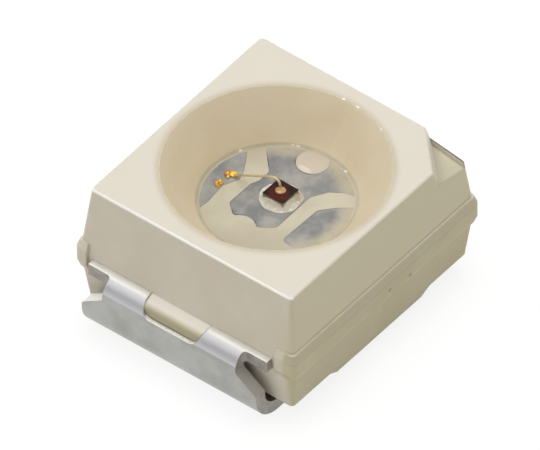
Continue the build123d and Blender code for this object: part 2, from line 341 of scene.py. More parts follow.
# %% Node group: soft edge
soft_edge, given, result = new_group(
    "soft_edge", [("Radius", "NodeSocketFloat", 0.01 * MM)],
    [("Normal", "NodeSocketVector"), ("Edge", "NodeSocketFloat")])
bevel = add(soft_edge, "ShaderNodeBevel", {"samples": 6}, Radius=given["Radius"])
surface = add(soft_edge, "ShaderNodeNewGeometry")
likeness = add(soft_edge, "ShaderNodeVectorMath", {"operation": "DOT_PRODUCT"},
               i0=bevel.outputs[0], i1=surface.outputs["Normal"])
fill(soft_edge, result, Normal=bevel.outputs[0],
     Edge=ramp(soft_edge, likeness.outputs["Value"], 0.995, 0.90))

# %% [markdown]
# *Mottle* moves a colour a little way to a second one in cloudy patches. No moulded or plated surface has
# one even colour, and without it a render looks like plastic foam. The patches come out as a mask too.

# %% Node group: mottle
mottle, given, result = new_group(
    "mottle", [("Colour", "NodeSocketColor", (1, 1, 1, 1)), ("Patch Colour", "NodeSocketColor", (1, 1, 1, 1)),
               ("Scale", "NodeSocketFloat", 1000.0), ("Amount", "NodeSocketFloat", 1.0)],
    [("Colour", "NodeSocketColor"), ("Patches", "NodeSocketFloat")])
place = add(mottle, "ShaderNodeTexCoord")
clouds = add(mottle, "ShaderNodeTexNoise", Vector=place.outputs["Object"], Scale=given["Scale"],
             Detail=4.0, Roughness=0.6)
patches = ramp(mottle, clouds.outputs[0], 0.35, 0.68)
mixed = blend(mottle, all_of(mottle, patches, given["Amount"]), given["Colour"], given["Patch Colour"])
fill(mottle, result, Colour=mixed, Patches=patches)

# %% [markdown]
# *Grain* is a fine height for the Bump node, which can be stretched along one direction, as on rolled
# sheet. A short helper sets the Bump node itself, which stays in the material.

# %% Node group: grain
grain, given, result = new_group(
    "grain", [("Scale", "NodeSocketFloat", 60000.0), ("Stretch", "NodeSocketVector", (1, 1, 1))],
    [("Height", "NodeSocketFloat")])
place = add(grain, "ShaderNodeTexCoord")
stretched = add(grain, "ShaderNodeVectorMath", {"operation": "MULTIPLY"},
                i0=place.outputs["Object"], i1=given["Stretch"])
fine = add(grain, "ShaderNodeTexNoise", Vector=stretched.outputs[0], Scale=given["Scale"],
           Detail=3.0, Roughness=0.65)
fill(grain, result, Height=fine.outputs[0])


def grain_bump(tree, strength, depth, on=None, **grain_values):
    """Normal of a grainy surface: the depth in mm, and the normal that it lies on."""
    height = use_group(tree, grain, **grain_values)["Height"]
    under = {"Normal": on} if on else {}
    return add(tree, "ShaderNodeBump", Strength=strength, Distance=depth * MM, Height=height,
               **under).outputs[0]


print("groups:", [group.name for group in bpy.data.node_groups])

# %% [markdown]
# ## White moulded plastic
# The package is a heat resistant nylon filled with white pigment, matt and slightly cream. All of it is
# one moulding, so all of it is one material, and masks made from the place tell its zones apart. The
# cells below go through them one by one, each laying its colour over what is there. The dry moulding
# comes first, only faintly clouded.

# %% Plastic: dry moulding
PLASTIC = colour(229, 222, 207)
PLASTIC_CLOUD = colour(224, 215, 197)

plastic, tree, shader, output = new_material("moulded_plastic")
at = use_group(tree, placing)
dry = use_group(tree, mottle, Colour=PLASTIC, Patch_Colour=PLASTIC_CLOUD, Scale=1400.0, Amount=0.8)
print("plastic base colour:", [round(c, 3) for c in PLASTIC[:3]])

# %% [markdown]
# Under the resin the plastic looks wet: warm on the wall of the cup and greyer on its floor. The wall is
# also painted lighter, as painted light for light that the resin keeps bouncing round the cup, and the
# floor gets painted shade on its near side. The round hole in the die pad is a disc of its own tone, with
# a painted highlight at one side. Towards the rim the wall is painted lighter still.

# %% Plastic: under the resin
# The wet wall colours are lighter than the dry plastic: painted light for light bounced round the cup.
WET_WALL = colour(246, 234, 211)
WET_WALL_CLOUD = colour(242, 228, 198)
WET_FLOOR = colour(200, 195, 178)
WET_FLOOR_CLOUD = colour(187, 181, 160)
# Painted shade on the near side of the cup floor.
WET_FLOOR_NEAR_SHADE = colour(184, 178, 161)
NEAR_SIDE = (-0.78, -0.63, 0.0)
NEAR_SIDE_DARKENS = (0.25, 0.65)
DISC = colour(203, 192, 178)
DISC_PLACE = (0.70, 0.07, 0.85)
# Painted highlight at one side of the disc.
DISC_PAINTED_GLEAM = colour(240, 235, 224)
GLEAM_PLACE = (0.56, 0.07, 0.85)
WALL_TURNS_FLOOR = (0.92, 0.852)
# Painted light on the wall just below the rim.
RIM_INSIDE_LIGHT = colour(244, 233, 210)
RIM_LIGHTENS = (1.67, 1.755)

wall = use_group(tree, mottle, Colour=WET_WALL, Patch_Colour=WET_WALL_CLOUD, Scale=1800.0, Amount=0.9)
bottom = use_group(tree, mottle, Colour=WET_FLOOR, Patch_Colour=WET_FLOOR_CLOUD, Scale=1900.0, Amount=0.9)
nearness = add(tree, "ShaderNodeVectorMath", {"operation": "DOT_PRODUCT"}, i0=at["Place"], i1=NEAR_SIDE)
bottom = blend(tree, ramp(tree, nearness.outputs["Value"], *NEAR_SIDE_DARKENS), bottom["Colour"],
               WET_FLOOR_NEAR_SHADE)
disc = spot_mask(tree, at, DISC_PLACE, (0.22, 0.22, 0.05))
bottom = blend(tree, disc, bottom, DISC)
painted_gleam = spot_mask(tree, at, GLEAM_PLACE, (0.05, 0.12, 0.03))
bottom = blend(tree, all_of(tree, painted_gleam, disc, 0.5), bottom, DISC_PAINTED_GLEAM)
wet = blend(tree, ramp(tree, at["Z"], *WALL_TURNS_FLOOR), wall["Colour"], bottom)
wet = blend(tree, ramp(tree, at["Z"], *RIM_LIGHTENS), wet, RIM_INSIDE_LIGHT)
print("wet wall:", [round(c, 3) for c in WET_WALL[:3]], "wet floor:", [round(c, 3) for c in WET_FLOOR[:3]])

# %% [markdown]
# The long side that lies in the shade gets painted shade: an olive colour, darker in patches below the
# parting ridge, and a darker painted band with soft borders on the upper slope of the ridge.

# %% Plastic: painted shade on the shaded side
# The olive colours and the ridge band are painted shade.
PAINTED_SHADE_OLIVE = colour(222, 215, 188)
PAINTED_SHADE_OLIVE_LOW = colour(206, 197, 164)
RIDGE_BAND_SHADE = colour(192, 184, 155)
SHADED_SIDE = (-1.28, -1.34)
STEEP = (0.55, 0.30)
LOW_PART = (1.09, 1.00)
LOW_PART_ALONG = (-1.45, -0.60)
RIDGE_BAND_HEIGHTS = (0.89, 0.97, 0.99, 1.08)

shaded = all_of(tree, ramp(tree, at["Y"], *SHADED_SIDE), ramp(tree, at["Up"], *STEEP))
shade_patches = use_group(tree, mottle, Scale=2200.0)
low_part = all_of(tree, ramp(tree, at["Z"], *LOW_PART), ramp(tree, shade_patches["Patches"], 0.0, 1.0, 0.7, 1.0),
                  ramp(tree, at["X"], *LOW_PART_ALONG, 0.65, 1.0))
side_shade = blend(tree, low_part, PAINTED_SHADE_OLIVE, PAINTED_SHADE_OLIVE_LOW)
side_shade = blend(tree, band(tree, at["Z"], *RIDGE_BAND_HEIGHTS), side_shade, RIDGE_BAND_SHADE)
tone = blend(tree, shaded, dry["Colour"], side_shade)
print("band of the ridge in mm:", RIDGE_BAND_HEIGHTS[1], "to", RIDGE_BAND_HEIGHTS[2])

# %% [markdown]
# The top gets a little painted shade, and round the rim a darker and warmer painted shade. Inside the rim
# the wet colours take over, at once, because that is where the resin begins.

# %% Plastic: top and rim
# Painted shade on the top, darker round the rim.
PLASTIC_TOP_SHADE = colour(224, 218, 205)
RIM_OUTSIDE_SHADE = colour(204, 192, 166)
FLAT = (0.90, 0.99)
TOP_HEIGHTS = (1.70, 1.74)
RIM_SHADE_REACH = (1.31, 1.20)
RIM_LINE = (1.2205, 1.2195)

on_top = all_of(tree, ramp(tree, at["Up"], *FLAT), ramp(tree, at["Z"], *TOP_HEIGHTS))
tone = blend(tree, all_of(tree, on_top, 0.8), tone, PLASTIC_TOP_SHADE)
tone = blend(tree, all_of(tree, ramp(tree, at["From Axis"], *RIM_SHADE_REACH), on_top), tone, RIM_OUTSIDE_SHADE)
tone = blend(tree, ramp(tree, at["From Axis"], *RIM_LINE), tone, wet)
print("rim of the cup at", RIM_LINE[0], "mm")

# %% [markdown]
# The ribs that fill the windows of the leads get painted light and shade: pale on top, and darker in
# front, where light hardly gets between them and the metal.

# %% Plastic: ribs
# Painted light on top of the ribs, painted shade in front.
RIB_TOP_LIGHT = colour(242, 236, 226)
RIB_FRONT_SHADE = colour(188, 180, 150)
RIB_STARTS = (1.52, 1.54)
RIB_BELOW = (0.86, 0.845)
RIB_ALONG = (-0.60, -0.50, 0.60, 0.70)
RIB_FRONT_STARTS = (1.62, 1.70)

rib = all_of(tree, ramp(tree, at["Out"], *RIB_STARTS), ramp(tree, at["Z"], *RIB_BELOW),
             band(tree, at["Y"], *RIB_ALONG))
tone = blend(tree, rib, tone, RIB_TOP_LIGHT)
tone = blend(tree, all_of(tree, rib, ramp(tree, at["Out"], *RIB_FRONT_STARTS)), tone, RIB_FRONT_SHADE)
print("ribs from", RIB_STARTS[0], "mm outwards")

# %% [markdown]
# The polarity corner has a sloping ledge, with painted shade at the foot of its wall and a greyer painted
# shade towards the shaded side. On its far edge stands a thin flash of plastic, painted as a dark line.
# The corner lies askew, so its masks measure across it, with X less Y.

# %% Plastic: polarity corner
# Painted shade on the ledge; the flash is painted as a dark line.
LEDGE_SIDE_SHADE = colour(200, 194, 172)
LEDGE_FOOT_SHADE = colour(184, 177, 156)
FLASH_LINE = colour(112, 107, 98)
LEDGE_STARTS = (2.28, 2.32)
LEDGE_HEIGHTS = (1.30, 1.36, 1.58, 1.60)
LEDGE_SLOPE = (0.75, 0.85)
LEDGE_FOOT = (2.56, 2.36)
LEDGE_GREYS = (-0.95, -1.34)
FLASH_STARTS = (1.430, 1.437)
FLASH_HEIGHTS = (1.45, 1.47, 1.61, 1.63)
FLASH_ALONG = (-0.84, -0.87)
FLASH_SLOPE = (0.2, 0.4)

across = math_node(tree, "SUBTRACT", at["X"], at["Y"])
on_ledge = all_of(tree, ramp(tree, across, *LEDGE_STARTS), ramp(tree, at["Up"], *LEDGE_SLOPE),
                  band(tree, at["Z"], *LEDGE_HEIGHTS))
ledge_side_shading = all_of(tree, on_ledge, ramp(tree, at["Y"], *LEDGE_GREYS, 0.35, 1.0))
tone = blend(tree, ledge_side_shading, tone, LEDGE_SIDE_SHADE)
ledge_foot = all_of(tree, on_ledge, ramp(tree, across, *LEDGE_FOOT))
tone = blend(tree, all_of(tree, ledge_foot, 0.8), tone, LEDGE_FOOT_SHADE)
flash = all_of(tree, ramp(tree, at["X"], *FLASH_STARTS), band(tree, at["Z"], *FLASH_HEIGHTS),
               ramp(tree, at["Y"], *FLASH_ALONG), ramp(tree, at["Up"], *FLASH_SLOPE))
tone = blend(tree, flash, tone, FLASH_LINE)
print("ledge between", LEDGE_HEIGHTS[1], "and", LEDGE_HEIGHTS[2], "mm")

# %% [markdown]
# The upper edge above each lead gets a near white painted highlight. The plastic beside the neck of the
# near lead is painted pale, painted light that lifts the shadow which the lead throws there.

# %% Plastic: painted highlight on the edge and painted light by the neck
# Painted highlight on the upper edge; painted light beside the neck.
PLASTIC_EDGE_HIGHLIGHT = colour(255, 254, 250)
PLASTIC_BY_NECK_LIGHT = colour(252, 247, 232)
EDGE_HEIGHTS = (1.722, 1.730)
EDGE_SLOPE = (0.998, 0.95)
EDGE_OUTSIDE_RIM = (1.25, 1.27)
EDGE_ENDWAYS = (0.04, 0.2)
END_FACE = (0.8, 0.95)
BY_NECK_BELOW = (0.72, 0.66)
BY_NECK_OUT = (1.36, 1.42)
BY_NECK_ALONG = (-1.38, -1.18, -0.90, -0.80)

top_edge_highlight = all_of(tree, ramp(tree, at["Z"], *EDGE_HEIGHTS), ramp(tree, at["Up"], *EDGE_SLOPE),
                  ramp(tree, at["From Axis"], *EDGE_OUTSIDE_RIM), ramp(tree, at["Endways"], *EDGE_ENDWAYS))
tone = blend(tree, top_edge_highlight, tone, PLASTIC_EDGE_HIGHLIGHT)
beside_neck = all_of(tree, ramp(tree, at["Endways"], *END_FACE), ramp(tree, at["Z"], *BY_NECK_BELOW),
                     ramp(tree, at["Out"], *BY_NECK_OUT), band(tree, at["Y"], *BY_NECK_ALONG))
tone = blend(tree, beside_neck, tone, PLASTIC_BY_NECK_LIGHT)
print("burnished from", EDGE_HEIGHTS[1], "mm up")

# %% [markdown]
# Where the leads leave the plastic the gaps get painted shade, which the Ambient Occlusion node finds.
# Painted shade also lies under the foot of each rib, and the same dark colour fills two small marks that
# the mould left on the ridge.

# %% Plastic: painted shade in gaps, and mould marks
# Painted shade in the gaps and under the ribs; the mould marks are real.
GAP_SHADE_AND_MARKS = colour(120, 108, 84)
GAP_WIDTH = 0.03
GAP_DEEP = (0.35, 0.05)
BY_LEADS_OUT = (1.36, 1.44)
BY_LEADS_BELOW = (0.95, 0.88)
RIB_FOOT_OUT = (1.60, 1.63)
RIB_FOOT_BELOW = (0.712, 0.690)
MOULD_MARKS = [(0.38, -1.46, 0.782), (0.043, -1.46, 0.823)]
MARK_REACH = (0.034, 0.04, 0.026)

gaps = add(tree, "ShaderNodeAmbientOcclusion", {"samples": 6, "only_local": False}, Distance=GAP_WIDTH * MM)
by_leads = all_of(tree, ramp(tree, at["Out"], *BY_LEADS_OUT), ramp(tree, at["Z"], *BY_LEADS_BELOW))
gap_shade = all_of(tree, ramp(tree, gaps.outputs["AO"], *GAP_DEEP, 0.0, 0.40), by_leads,
                 ramp(tree, beside_neck, 0.0, 1.0, 1.0, 0.0))
rib_foot = all_of(tree, ramp(tree, at["Out"], *RIB_FOOT_OUT), ramp(tree, at["Z"], *RIB_FOOT_BELOW))
marks = any_of(tree, *[spot_mask(tree, at, centre, MARK_REACH) for centre in MOULD_MARKS])
shade_and_marks = any_of(tree, gap_shade, all_of(tree, rib_foot, 0.8), all_of(tree, marks, 0.55))
tone = blend(tree, shade_and_marks, tone, GAP_SHADE_AND_MARKS)
print("mould marks:", len(MOULD_MARKS))

# %% [markdown]
# At the foot of the wall and along the rim lie tiny painted highlights. Each is one spot.

# %% Plastic: glints
# Tiny painted highlights, each one spot.
GLINT = colour(255, 253, 247)
FOOT_GLINTS = [(0.772, 0.400), (0.790, 0.340), (0.800, -0.235), (0.790, -0.300), (0.357, 0.785)]
FOOT_GLINT_Z = 0.868
FOOT_GLINT_REACH = (0.024, 0.034, 0.02)
RIM_GLINTS = [(1.226, 0.083), (1.222, -0.105), (1.110, -0.496)]
RIM_GLINT_Z = 1.745
RIM_GLINT_REACH = (0.018, 0.026, 0.03)

glint = any_of(tree, *[spot_mask(tree, at, (x, y, FOOT_GLINT_Z), FOOT_GLINT_REACH) for x, y in FOOT_GLINTS],
               *[spot_mask(tree, at, (x, y, RIM_GLINT_Z), RIM_GLINT_REACH) for x, y in RIM_GLINTS])
tone = blend(tree, glint, tone, GLINT)
print("glints:", len(FOOT_GLINTS) + len(RIM_GLINTS))

# %% [markdown]
# Last come the relief and the gloss. Outer edges are softened, with a radius that a ramp takes to nothing
# inside the cup: there the plastic runs out over the metal in a thin wedge, and a softened normal on a
# wedge turns dark. The edge with the painted highlight and the painted glints are smoother than the rest.

# %% Plastic: relief and gloss
EDGE_RADIUS = 0.030
SOFT_FROM = (1.24, 1.30)
MATT_ROUGHNESS = 0.48
GLOSS_ROUGHNESS = 0.26

rounding = ramp(tree, at["From Axis"], *SOFT_FROM, 0.0, EDGE_RADIUS * MM)
edges = use_group(tree, soft_edge, Radius=rounding)
smooth = any_of(tree, top_edge_highlight, glint)
fill(tree, shader, Base_Color=tone, Specular_IOR_Level=0.4,
     Roughness=ramp(tree, smooth, 0.0, 1.0, MATT_ROUGHNESS, GLOSS_ROUGHNESS),
     Normal=grain_bump(tree, 0.10, 0.003, on=edges["Normal"], Scale=45000.0))
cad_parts["housing"].material_slots[0].material = plastic
print("edges softened by", EDGE_RADIUS, "mm")

# %% [markdown]
# ## Silver plate on the leads
# The leads are punched from one sheet, plated and bent. The rolled faces are satin metal, faintly
# clouded. One material holds all of the lead, sorted by masks, as on the plastic.

# %% Leads: rolled faces
PLATE = colour(174, 174, 170)
PLATE_CLOUD = colour(153, 152, 147)

plate, tree, shader, output = new_material("silver_plate_satin")
at = use_group(tree, placing)
rolled = use_group(tree, mottle, Colour=PLATE, Patch_Colour=PLATE_CLOUD, Scale=2600.0, Amount=0.7)
print("plate base colour:", [round(c, 3) for c in PLATE[:3]])

# %% [markdown]
# The punched edges are sheared metal: greyer, rougher and hardly a mirror. They are the sides of the
# sheet, the fronts of the ears and the lower edge of the window.

# %% Leads: sheared edges
SHEARED = colour(182, 178, 174)
SHEARED_DARK = colour(152, 147, 139)
CUT_SIDE = (0.18, 0.35)
EAR_FACE = (0.85, 0.95)
EAR_INSIDE = (1.63, 1.61)
EAR_ABOVE = (0.66, 0.68)
WINDOW_EDGE_SLOPE = (0.6, 0.8)
WINDOW_EDGE_OUT = (1.58, 1.60)
WINDOW_EDGE_BELOW = (0.73, 0.71)
WINDOW_ALONG = (-0.42, -0.40, 0.50, 0.52)

cut_side = ramp(tree, at["Sideways"], *CUT_SIDE)
ear_front = all_of(tree, ramp(tree, at["Endways"], *EAR_FACE), ramp(tree, at["Out"], *EAR_INSIDE),
                   ramp(tree, at["Z"], *EAR_ABOVE))
window_edge = all_of(tree, ramp(tree, at["Up"], *WINDOW_EDGE_SLOPE), ramp(tree, at["Out"], *WINDOW_EDGE_OUT),
                     ramp(tree, at["Z"], *WINDOW_EDGE_BELOW), band(tree, at["Y"], *WINDOW_ALONG))
sheared = any_of(tree, cut_side, ear_front, window_edge)
torn = use_group(tree, mottle, Colour=SHEARED, Patch_Colour=SHEARED_DARK, Scale=9000.0, Amount=0.8)
print("window edge below", WINDOW_EDGE_BELOW[0], "mm")

# %% [markdown]
# The upper bends and the flat beside the housing are painted brighter, a painted reflection of the pale
# tent that they mirror. Two sheared edges get a near white painted highlight: the lower edge of the
# window, in sparkling patches, and the shoulder at +Y. The slope of the flare at -Y is a shade darker.

# %% Leads: painted reflections and highlights
# Painted reflection on bends and flat; painted highlight on two sheared edges.
BRIGHT_BEND = colour(203, 203, 206)
BRIGHT_FLAT = colour(236, 235, 232)
SHEARED_LOW = colour(178, 173, 166)
PLATE_HIGHLIGHT = colour(255, 255, 250)
BEND_SLOPE = (0.20, 0.30)
BEND_ABOVE = (0.62, 0.66)
FLAT_ABOVE = (0.80, 0.84)
SHOULDER_ALONG = (0.85, 0.90)
SHOULDER_SLOPE = (0.5, 0.7)
FLARE_ALONG = (-0.80, -0.86)
FLARE_SLOPE = (0.25, 0.45)

bend = all_of(tree, ramp(tree, at["Up"], *BEND_SLOPE), ramp(tree, at["Z"], *BEND_ABOVE))
flat_top = all_of(tree, ramp(tree, at["Up"], *FLAT), ramp(tree, at["Z"], *FLAT_ABOVE))
shoulder = all_of(tree, cut_side, ramp(tree, at["Y"], *SHOULDER_ALONG), ramp(tree, at["Up"], *SHOULDER_SLOPE))
flare = all_of(tree, cut_side, ramp(tree, at["Y"], *FLARE_ALONG), ramp(tree, at["Up"], *FLARE_SLOPE))
sparkle = ramp(tree, use_group(tree, mottle, Scale=22000.0)["Patches"], 0.0, 0.4, 0.75, 1.0)
painted_highlight = any_of(tree, all_of(tree, window_edge, sparkle), shoulder)
outside = blend(tree, bend, rolled["Colour"], BRIGHT_BEND)
outside = blend(tree, flat_top, outside, BRIGHT_FLAT)
outside = blend(tree, sheared, outside, torn["Colour"])
outside = blend(tree, flare, outside, SHEARED_LOW)
outside = blend(tree, painted_highlight, outside, PLATE_HIGHLIGHT)
print("bend above", BEND_ABOVE[1], "mm")

# %% [markdown]
# On the floor of the cup the same plating lies under resin. It looks duller and bluish and is broken by
# paler patches. Along its cut outline run dark lines, full in a few zones and faint in between.

# %% Leads: floor of the cup
PLATE_INSIDE = colour(115, 117, 121)
PLATE_INSIDE_PALE = colour(152, 151, 147)
OUTLINE = colour(62, 58, 48)
OUTLINE_WIDTH = 0.038
OUTLINE_ZONES = [(-0.40, 0.21, 0.12), (-0.38, -0.02, 0.06), (0.60, 0.22, 0.06), (0.53, 0.04, 0.10),
                 (0.40, 0.45, 0.10)]
METAL_Z = 0.85

inner = use_group(tree, mottle, Colour=PLATE_INSIDE, Patch_Colour=PLATE_INSIDE_PALE, Scale=3200.0)
broken = use_group(tree, mottle, Scale=6500.0)["Patches"]
cut_line = use_group(tree, soft_edge, Radius=OUTLINE_WIDTH * MM)["Edge"]
zones = [spot_mask(tree, at, (x, y, METAL_Z), (reach, reach, 0.05)) for x, y, reach in OUTLINE_ZONES]
outline = all_of(tree, cut_line, any_of(tree, all_of(tree, broken, 0.55), *zones))
inner = blend(tree, all_of(tree, broken, 0.35), inner["Colour"], PLATE_INSIDE_PALE)
inner = blend(tree, outline, inner, OUTLINE)
print("outline zones:", len(OUTLINE_ZONES))

# %% [markdown]
# Towards the wall the metal fades under a thin skin of plastic, which crept over it in the mould. It
# starts at a radius that differs round the cup, so a ramp from one side to the other sets that radius.

# %% Leads: skin of plastic
PLASTIC_SKIN = colour(186, 176, 154)
SKIN_SIDES = (-0.2, 0.6)
SKIN_STARTS = (0.63, 0.78)
SKIN_FADES = (0.0, 0.20)
CUP_FLOOR_INSIDE = (0.95, 0.94)
CUP_FLOOR_ABOVE = (0.840, 0.846)

one_side = math_node(tree, "SUBTRACT", at["Y"], at["X"])
skin_start = ramp(tree, one_side, *SKIN_SIDES, *SKIN_STARTS)
past_start = math_node(tree, "SUBTRACT", at["From Axis"], skin_start)
skin = all_of(tree, ramp(tree, past_start, *SKIN_FADES), ramp(tree, broken, 0.0, 1.0, 0.8, 1.0))
inner = blend(tree, skin, inner, PLASTIC_SKIN)
in_cup = all_of(tree, ramp(tree, at["From Axis"], *CUP_FLOOR_INSIDE), ramp(tree, at["Z"], *CUP_FLOOR_ABOVE))
print("skin starts between", SKIN_STARTS[0], "and", SKIN_STARTS[1], "mm")

# %% [markdown]
# Sheared metal and the metal under resin are duller, so they are less of a mirror. Sheared edges and
# bends are also rougher. The grain is stretched along the direction in which the sheet was rolled.

# %% Leads: relief and gloss
LEAD_EDGE_RADIUS = 0.010
ROLLED_ROUGHNESS = 0.34
SHEARED_ROUGHNESS = 0.50

edges = use_group(tree, soft_edge, Radius=LEAD_EDGE_RADIUS * MM)
dull_in_cup = all_of(tree, in_cup, ramp(tree, skin, 0.0, 1.0, 0.35, 1.0))
dull = any_of(tree, all_of(tree, sheared, 0.6), dull_in_cup)
rough = any_of(tree, sheared, bend)
fill(tree, shader, Base_Color=blend(tree, in_cup, outside, inner),
     Metallic=ramp(tree, dull, 0.0, 1.0, 1.0, 0.0),
     Roughness=ramp(tree, rough, 0.0, 1.0, ROLLED_ROUGHNESS, SHEARED_ROUGHNESS),
     Normal=grain_bump(tree, 0.22, 0.002, on=edges["Normal"], Scale=26000.0, Stretch=(1.0, 0.25, 1.0)))
for node in ("cathode_lead", "anode_lead"):
    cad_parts[node].material_slots[0].material = plate
print("lead edges softened by", LEAD_EDGE_RADIUS, "mm")

# %% [markdown]
# ## The chip
# A sawn crystal, deep red-brown and nearly black towards the rim of its top, with greyer sawn sides that
# the adhesive has smeared. The CAD node is a plain block, which is what it is. A mask from the direction
# of the surface tells its top from its sides.

# %% Chip
CHIP_PLACE = (0.065, 0.0)
CHIP_HALF = 0.135
CHIP_TOP_Z = 1.05
CHIP_TOP = colour(80, 14, 6)
CHIP_RIM = colour(20, 8, 3)
CHIP_SIDE = colour(150, 140, 122)
CHIP_SIDE_DARK = colour(60, 44, 32)
SMEARED_BELOW = (1.045, 0.985)
CHIP_EDGE_RADIUS = 0.004

crystal, tree, shader, output = new_material("chip_crystal")
at = use_group(tree, placing)
ruddy_place = (CHIP_PLACE[0] - 0.05, CHIP_PLACE[1] - 0.01, CHIP_TOP_Z)
ruddy = spot_mask(tree, at, ruddy_place, (0.15, 0.15, 0.2))
top_tone = use_group(tree, mottle, Colour=CHIP_RIM, Patch_Colour=CHIP_TOP, Scale=12000.0, Amount=0.5)
top_colour = blend(tree, ruddy, top_tone["Colour"], CHIP_TOP)
smears = ramp(tree, use_group(tree, mottle, Scale=14000.0)["Patches"], 0.0, 1.0, 0.5, 1.0)
smeared = all_of(tree, ramp(tree, at["Z"], *SMEARED_BELOW), smears)
side_colour = blend(tree, smeared, CHIP_SIDE_DARK, CHIP_SIDE)
edges = use_group(tree, soft_edge, Radius=CHIP_EDGE_RADIUS * MM)
fill(tree, shader, Base_Color=blend(tree, ramp(tree, at["Up"], 0.4, 0.6), side_colour, top_colour),
     Normal=edges["Normal"], Roughness=0.40, Specular_IOR_Level=0.05)
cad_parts["led_die"].material_slots[0].material = crystal
print("chip side in mm:", 2 * CHIP_HALF)

# %% [markdown]
# ## New pieces in the place of CAD nodes
# The adhesive, the gold and the resin get a finer mesh than their solids. Each is finished the same way:
# merge double points, turn the faces outwards, shade smooth but for sharp creases, and hide the CAD node
# that the piece stands for. Without the creases, a flat top that meets a wall would show bands of shade.

# %% Helper for finished pieces
CREASE = 50
MERGE_DISTANCE = 1e-4


def finish_piece(bm, name, replaced, material):
    """Turns a bmesh into a smooth piece that rides on the part and stands for a CAD node."""
    bmesh.ops.remove_doubles(bm, verts=bm.verts, dist=MERGE_DISTANCE * MM)
    bmesh.ops.recalc_face_normals(bm, faces=bm.faces)
    mesh = bpy.data.meshes.new(name)
    bm.to_mesh(mesh)
    bm.free()
    mesh.shade_smooth()
    mesh.set_sharp_from_angle(angle=math.radians(CREASE))
    mesh.materials.append(material)
    piece = bpy.data.objects.new(name, mesh)
    bpy.context.scene.collection.objects.link(piece)
    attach(piece, "root")
    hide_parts(replaced)
    print(name, "faces:", len(mesh.polygons))


# %% [markdown]
# ## Adhesive round the chip
# The chip is bedded in a drop of adhesive that has dried glossy and whitish, brownish on one side, with
# tiny white painted highlights in small patches.

# %% Adhesive finish
GLUE_WHITE = colour(232, 229, 221)
GLUE_GREY = colour(196, 192, 182)
GLUE_BROWN = colour(198, 184, 164)
GLUE_BROWNS_X = (0.05, 0.15)
GLUE_BROWNS_Y = (0.0, -0.10)
# Peaks of the noise where tiny white painted highlights lie.
SPARKLE_PEAKS = (0.80, 0.95)

adhesive, tree, shader, output = new_material("cured_adhesive")
at = use_group(tree, placing)
tone = use_group(tree, mottle, Colour=GLUE_WHITE, Patch_Colour=GLUE_GREY, Scale=14000.0, Amount=0.8)
brownish = all_of(tree, ramp(tree, at["X"], *GLUE_BROWNS_X), ramp(tree, at["Y"], *GLUE_BROWNS_Y), 0.8)
glue_colour = blend(tree, brownish, tone["Colour"], GLUE_BROWN)
painted_sparkles = ramp(tree, use_group(tree, mottle, Scale=30000.0)["Patches"], *SPARKLE_PEAKS, 0.0, 0.85)
fill(tree, shader, Base_Color=blend(tree, painted_sparkles, glue_colour, (1, 1, 1, 1)),
     Roughness=ramp(tree, tone["Patches"], 0.0, 1.0, 0.16, 0.30),
     Normal=grain_bump(tree, 0.35, 0.004, Scale=22000.0))
print("adhesive base colour:", [round(c, 3) for c in GLUE_WHITE[:3]])

# %% [markdown]
# The drop has crept up the sides of the chip as a collar with an uneven outline. It could be sculpted,
# but its rule is simple: level curves that start as a wobbly circle on the metal and end as the square of
# the chip, rising steeply at the end. So one circle is extruded inwards ring by ring, and each ring is
# placed by that rule. A power of 8 turns the circle into a square with rounded corners.

# %% Adhesive collar
COLLAR_REACH = 0.250
COLLAR_SHIFT = 0.003
COLLAR_CLIMB = 0.140
COLLAR_WOBBLE = 0.009
COLLAR_RINGS = 10
CLIMB_WOBBLE = 0.02
CLIMB_POWER = 2.4
WOBBLES = 1.7
SQUARENESS = 8
SUNK = 0.002
INTO_CHIP = 0.004


def next_ring(bm, ring):
    """Extrudes a ring of points once and gives the new ring in the same order."""
    ring_edges = [edge for edge in bm.edges if all(end in ring for end in edge.verts)]
    grown = bmesh.ops.extrude_edge_only(bm, edges=ring_edges)["geom"]
    return [next(edge.other_vert(vert) for edge in vert.link_edges if edge.other_vert(vert) in grown)
            for vert in ring]


bm = bmesh.new()
ring = bmesh.ops.create_circle(bm, segments=80, radius=1.0)["verts"]
angles = [math.atan2(vert.co.y, vert.co.x) for vert in ring]
for step in range(COLLAR_RINGS + 1):
    share = step / COLLAR_RINGS
    if step:
        ring = next_ring(bm, ring)
    for vert, angle in zip(ring, angles):
        cosine, sine = math.cos(angle), math.sin(angle)
        wobble = noise.noise(Vector((cosine, sine, 0.0)) * WOBBLES)
        circle = COLLAR_REACH + COLLAR_WOBBLE * 2 * wobble
        roundness = (abs(cosine) ** SQUARENESS + abs(sine) ** SQUARENESS) ** (1 / SQUARENESS)
        square = (CHIP_HALF - INTO_CHIP) / roundness
        reach = circle + (square - circle) * share
        rise = (COLLAR_CLIMB + CLIMB_WOBBLE * wobble) * share ** CLIMB_POWER - SUNK
        shift = COLLAR_SHIFT * (1 - share)
        vert.co = Vector((CHIP_PLACE[0] + shift + reach * cosine,
                          CHIP_PLACE[1] + shift / 2 + reach * sine, METAL_Z + rise)) * MM
bmesh.ops.holes_fill(bm, edges=bm.edges)
finish_piece(bm, "adhesive_collar", "die_attach", adhesive)

# %% [markdown]
# ## Gold
# The wire and its lumps are bright drawn gold, pale on the wire and the ball, deep yellow in the lumps on
# the floor. Nothing but height and place tells these apart, so one finish serves both pieces.

# %% Gold finish
GOLD_PALE = colour(236, 206, 166)
GOLD = colour(210, 170, 116)
GOLD_LOOP = colour(255, 232, 196)
GOLD_FAR = colour(236, 218, 172)
GOLD_DEEP = colour(240, 168, 48)
GOLD_BRIGHT = colour(255, 226, 120)
LOOP_ABOVE = (1.09, 1.13)
FAR_PART = (0.06, 0.16)
LUMPS_BELOW = (0.93, 0.88)

